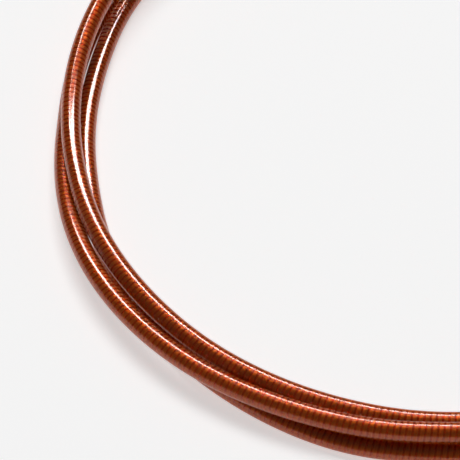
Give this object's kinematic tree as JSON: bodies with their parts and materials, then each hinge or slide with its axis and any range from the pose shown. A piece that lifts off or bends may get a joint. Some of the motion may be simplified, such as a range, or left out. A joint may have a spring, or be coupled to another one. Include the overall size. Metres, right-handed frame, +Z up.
{
  "type": "coiled brake cable",
  "caption": "Coiled brake cable: see-through copper-brown jacket over flat wound wire, with ferrules, a sliding inner wire, a barrel nipple and a crimped end.",
  "frame": {"origin": "bottom centre of the bounding box, on the surface that the coil lies on", "axes": "+Z up, out of the coil's plane; +Y towards the back of the coil, +X to the right"},
  "size_m": [0.2109, 0.2158, 0.0181],
  "materials": {
    "copper_jacket": "gloss, see-through",
    "wound_steel": "bright flat wire",
    "liner_plastic": "smooth",
    "stranded_steel": "stranded",
    "plated_ferrule": "plated",
    "cast_zinc": "as cast",
    "crimp_aluminium": "satin",
    "tie_nylon": "natural nylon"
  },
  "bodies": {
    "casing": {"casing_coil": "copper_jacket", "coil_tie_left": "tie_nylon", "coil_tie_right": "tie_nylon", "lever_tail_jacket": "copper_jacket", "lever_tail_wound_wire": "wound_steel", "lever_tail_liner": "liner_plastic", "lever_tail_inner_wire": "stranded_steel", "lever_ferrule": "plated_ferrule", "brake_tail_jacket": "copper_jacket", "brake_tail_wound_wire": "wound_steel", "brake_tail_liner": "liner_plastic", "brake_tail_inner_wire": "stranded_steel", "brake_ferrule": "plated_ferrule"},
    "lever_end": {"lever_wire": "stranded_steel", "barrel_nipple": "cast_zinc"},
    "brake_end": {"brake_wire": "stranded_steel", "crimp_cap": "crimp_aluminium"}
  },
  "joints": [
    {"name": "lever_pull", "type": "slide", "parent": "casing", "child": "lever_end", "axis": [0.9135, -0.4067, 0], "range_m": [0, 0.012]},
    {"name": "brake_draw", "type": "slide", "parent": "casing", "child": "brake_end", "axis": [0, 0.9994, -0.0349], "range_m": [-0.012, 0]}
  ],
  "couplings": [
    {"joint": "brake_draw", "follows": "lever_pull", "ratio": -1}
  ]
}
